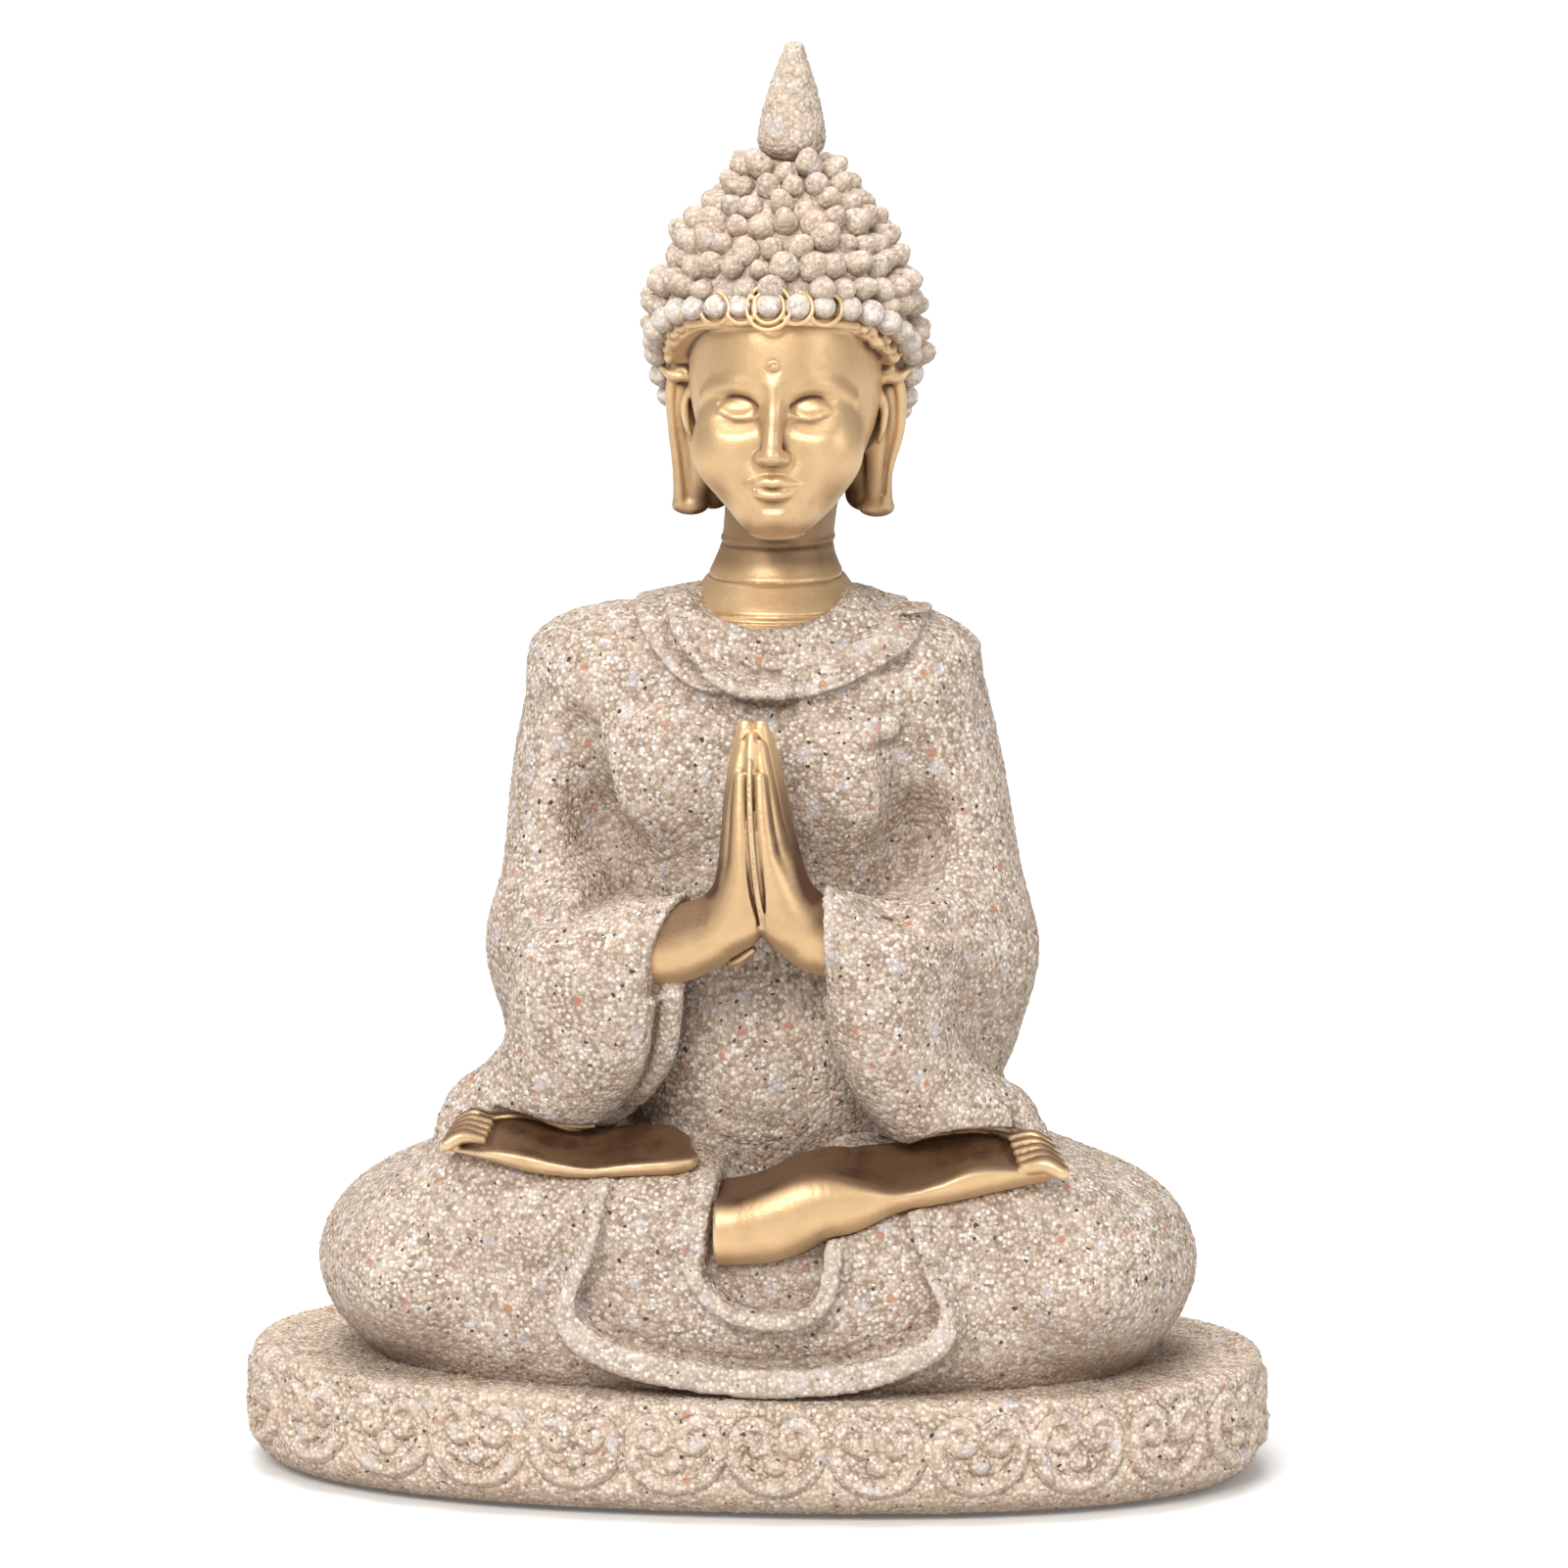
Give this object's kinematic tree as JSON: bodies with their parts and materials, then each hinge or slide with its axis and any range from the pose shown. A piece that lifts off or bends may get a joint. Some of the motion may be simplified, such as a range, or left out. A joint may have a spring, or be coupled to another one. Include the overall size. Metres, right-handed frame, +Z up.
{
  "type": "seated buddha figurine",
  "caption": "Seated Buddha figurine with praying hands, draped robe and beaded curls, in sand-textured resin with antique gold skin, on an oval plinth with scroll relief.",
  "frame": {"origin": "centre of the resting plane, under the middle of the oval plinth", "axes": "+Z up through the figure, +Y towards its back (it faces -Y), +X towards its left hand"},
  "size_m": [0.0834, 0.046, 0.115],
  "materials": {
    "sand_robe": "rough cast resin faced with sand grains, with black and rust specks",
    "sand_base": "rough cast resin faced with sand grains",
    "sand_hair": "pale sand-faced resin beads",
    "pale_curl": "whitish sand-faced resin beads",
    "antique_gold": "satin gold paint with a brown wash in the hollows, on cast resin",
    "felt": "blue-grey felt"
  },
  "bodies": {
    "root": {"base_plinth": "sand_base", "base_scrolls": "sand_base", "collar_drape": "sand_robe", "curl_row_1": "pale_curl", "curl_row_10": "sand_hair", "curl_row_11": "sand_hair", "curl_row_12": "sand_hair", "curl_row_13": "sand_hair", "curl_row_14": "sand_hair", "curl_row_15": "sand_hair", "curl_row_2": "sand_hair", "curl_row_3": "sand_hair", "curl_row_4": "sand_hair", "curl_row_5": "sand_hair", "curl_row_6": "sand_hair", "curl_row_7": "sand_hair", "curl_row_8": "sand_hair", "curl_row_9": "sand_hair", "felt_pad": "felt", "finial": "sand_robe", "front_hem": "sand_robe", "hair_cap": "sand_hair", "hairline_trim": "antique_gold", "head": "antique_gold", "left_foot": "antique_gold", "left_hand": "antique_gold", "left_sleeve": "sand_robe", "right_foot": "antique_gold", "right_hand": "antique_gold", "right_sleeve": "sand_robe", "robe_lap": "sand_robe", "robe_torso": "sand_robe"}
  },
  "joints": []
}
